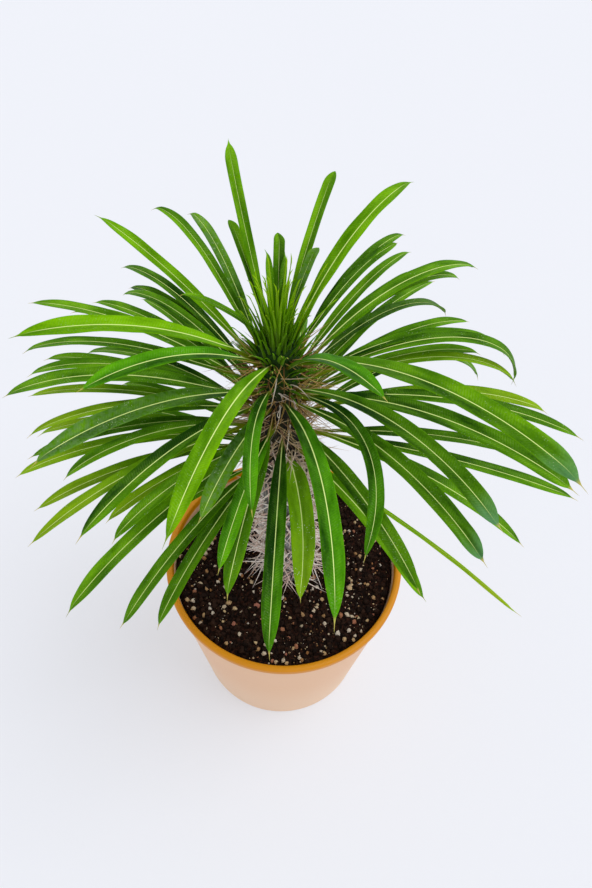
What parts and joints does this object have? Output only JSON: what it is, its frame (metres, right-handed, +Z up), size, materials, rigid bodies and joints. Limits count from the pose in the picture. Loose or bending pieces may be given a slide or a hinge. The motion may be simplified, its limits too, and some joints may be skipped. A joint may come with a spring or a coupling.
{
  "type": "potted madagascar palm",
  "caption": "Potted Madagascar palm: a leaning, spiny trunk under a wide crown of long strap-shaped green leaves, standing in gritty dark soil in a tapered round plastic pot.",
  "frame": {"origin": "centre of the pot's base, on the surface that it stands on", "axes": "+Z up along the pot's axis, -Y towards the viewer and +X to the viewer's right, as pictured"},
  "size_m": [0.33, 0.2754, 0.4527],
  "materials": {
    "pot_plastic": "satin",
    "soil": "matte",
    "trunk_bark": "matte",
    "leaf_green": "satin",
    "young_leaf_green": "satin"
  },
  "bodies": {
    "root": {"pot": "pot_plastic", "soil": "soil", "trunk": "trunk_bark", "crown": "young_leaf_green", "leaf_01": "leaf_green", "leaf_02": "leaf_green", "leaf_03": "leaf_green", "leaf_04": "leaf_green", "leaf_05": "leaf_green", "leaf_06": "leaf_green", "leaf_07": "leaf_green", "leaf_08": "leaf_green", "leaf_09": "leaf_green", "leaf_10": "leaf_green", "leaf_11": "leaf_green", "leaf_12": "leaf_green", "leaf_13": "leaf_green", "leaf_14": "leaf_green", "leaf_15": "leaf_green", "leaf_16": "leaf_green", "leaf_17": "leaf_green", "leaf_18": "leaf_green", "leaf_19": "leaf_green", "leaf_20": "leaf_green", "leaf_21": "leaf_green", "leaf_22": "leaf_green", "leaf_23": "leaf_green", "leaf_24": "leaf_green", "leaf_25": "leaf_green", "leaf_26": "leaf_green", "leaf_27": "leaf_green", "leaf_28": "leaf_green", "leaf_29": "leaf_green", "leaf_30": "leaf_green", "leaf_31": "leaf_green", "leaf_32": "leaf_green", "leaf_33": "leaf_green", "leaf_34": "leaf_green", "leaf_35": "leaf_green", "leaf_36": "leaf_green", "leaf_37": "leaf_green", "leaf_38": "leaf_green", "leaf_39": "leaf_green", "leaf_40": "leaf_green", "leaf_41": "leaf_green", "leaf_42": "leaf_green", "leaf_43": "leaf_green", "leaf_44": "leaf_green", "leaf_45": "leaf_green", "leaf_46": "leaf_green", "leaf_47": "leaf_green", "leaf_48": "leaf_green", "leaf_49": "leaf_green", "leaf_50": "leaf_green", "leaf_51": "leaf_green", "leaf_52": "leaf_green", "leaf_53": "leaf_green", "leaf_54": "leaf_green", "leaf_55": "leaf_green", "leaf_56": "leaf_green"}
  },
  "joints": []
}
